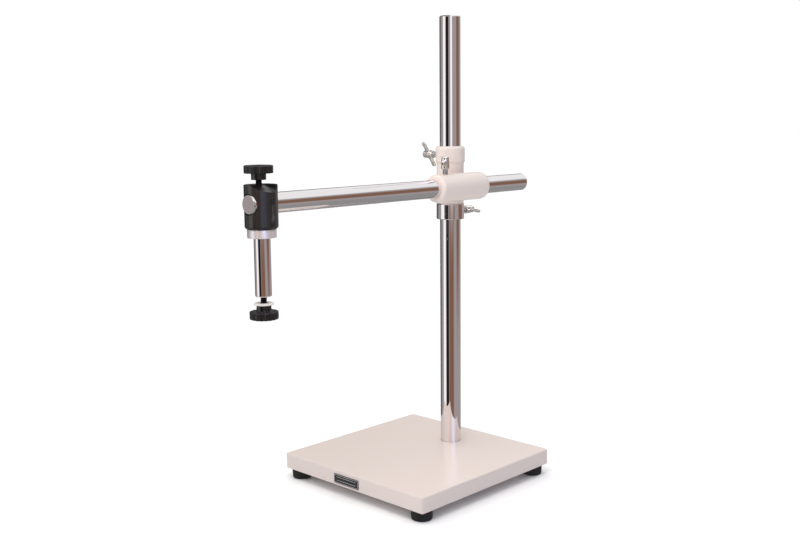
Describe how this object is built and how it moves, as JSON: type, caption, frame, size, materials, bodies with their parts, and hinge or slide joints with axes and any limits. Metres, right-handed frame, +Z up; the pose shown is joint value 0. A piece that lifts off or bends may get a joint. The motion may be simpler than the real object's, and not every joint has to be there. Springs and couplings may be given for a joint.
{
  "type": "microscope boom stand",
  "caption": "Boom stand for a stereo microscope: square base, chromed post, collar, swivelling crosshead, sliding boom and a head block with a mounting pin.",
  "frame": {"origin": "centre of the base plate's top face", "axes": "+Z up along the post; -Y is the front, where the label is and the boom reaches; +X is the side of the post that the boom passes"},
  "size_m": [0.27, 0.5193, 0.657],
  "materials": {
    "cream_enamel": "cream stove enamel on steel and cast iron, semi-gloss",
    "label_foil": "plain black label, no text",
    "rubber": "black moulded rubber",
    "dark_steel": "blackened steel screws and studs",
    "chrome_plate": "polished hard chrome on ground steel bar",
    "bright_zinc": "bright plated cast wing screws and fixings",
    "brass": "plain turned brass",
    "black_anodised": "black anodised aluminium",
    "turned_aluminium": "fine turned, clear anodised",
    "black_phenolic": "black moulded phenolic",
    "white_nylon": "turned white nylon"
  },
  "bodies": {
    "base": {"base_plate": "cream_enamel", "front_label": "label_foil", "foot_front_left": "rubber", "foot_front_right": "rubber", "foot_rear_left": "rubber", "foot_rear_right": "rubber", "foot_screw_front_left": "dark_steel", "foot_screw_front_right": "dark_steel", "foot_screw_rear_left": "dark_steel", "foot_screw_rear_right": "dark_steel", "post_bar": "chrome_plate", "post_bolt": "bright_zinc", "post_washer": "bright_zinc"},
    "collar": {"safety_collar": "chrome_plate", "collar_clamp_pad": "brass"},
    "collar_screw": {"collar_clamp_screw": "bright_zinc"},
    "crosshead": {"crosshead_casting": "cream_enamel", "post_clamp_pad": "brass", "boom_clamp_pad": "brass"},
    "post_screw": {"post_clamp_screw": "bright_zinc"},
    "boom_screw": {"boom_clamp_screw": "bright_zinc"},
    "boom": {"boom_bar": "chrome_plate"},
    "head": {"head_block": "black_anodised", "head_grub_screw": "dark_steel", "head_clamp_pad": "brass", "bearing_ring": "turned_aluminium", "mounting_pin": "chrome_plate"},
    "clamp_knob": {"top_knob": "black_phenolic", "top_knob_stud": "dark_steel"},
    "retaining_knob": {"safety_knob": "black_phenolic", "safety_stud": "dark_steel", "nylon_washer": "white_nylon"}
  },
  "joints": [
    {"name": "collar_slide", "type": "slide", "parent": "base", "child": "collar", "axis": [0, 0, 1], "range_m": [-0.23, 0.17]},
    {"name": "collar_screw_turn", "type": "hinge", "parent": "collar", "child": "collar_screw", "pos_m": [0, 0.074, 0.3435], "axis": [0, 1, 0], "range_deg": [0, 45]},
    {"name": "crosshead_swivel", "type": "hinge", "parent": "collar", "child": "crosshead", "pos_m": [0, 0.074, 0.3553], "axis": [0, 0, 1], "continuous": true},
    {"name": "post_screw_turn", "type": "hinge", "parent": "crosshead", "child": "post_screw", "pos_m": [0, 0.074, 0.425], "axis": [-1, 0, 0], "range_deg": [0, 180]},
    {"name": "boom_screw_turn", "type": "hinge", "parent": "crosshead", "child": "boom_screw", "pos_m": [0.032, 0.027, 0.381], "axis": [0, 0, 1], "range_deg": [0, 180]},
    {"name": "boom_slide", "type": "slide", "parent": "crosshead", "child": "boom", "axis": [0, 1, 0], "range_m": [-0.09, 0.27]},
    {"name": "head_tilt", "type": "hinge", "parent": "boom", "child": "head", "pos_m": [0.032, -0.2993, 0.381], "axis": [0, 1, 0], "continuous": true},
    {"name": "clamp_knob_turn", "type": "hinge", "parent": "head", "child": "clamp_knob", "pos_m": [0.032, -0.3018, 0.41], "axis": [0, 0, 1], "range_deg": [0, 360]},
    {"name": "retaining_knob_turn", "type": "hinge", "parent": "head", "child": "retaining_knob", "pos_m": [0.032, -0.2993, 0.26], "axis": [0, 0, -1], "range_deg": [0, 360]}
  ]
}
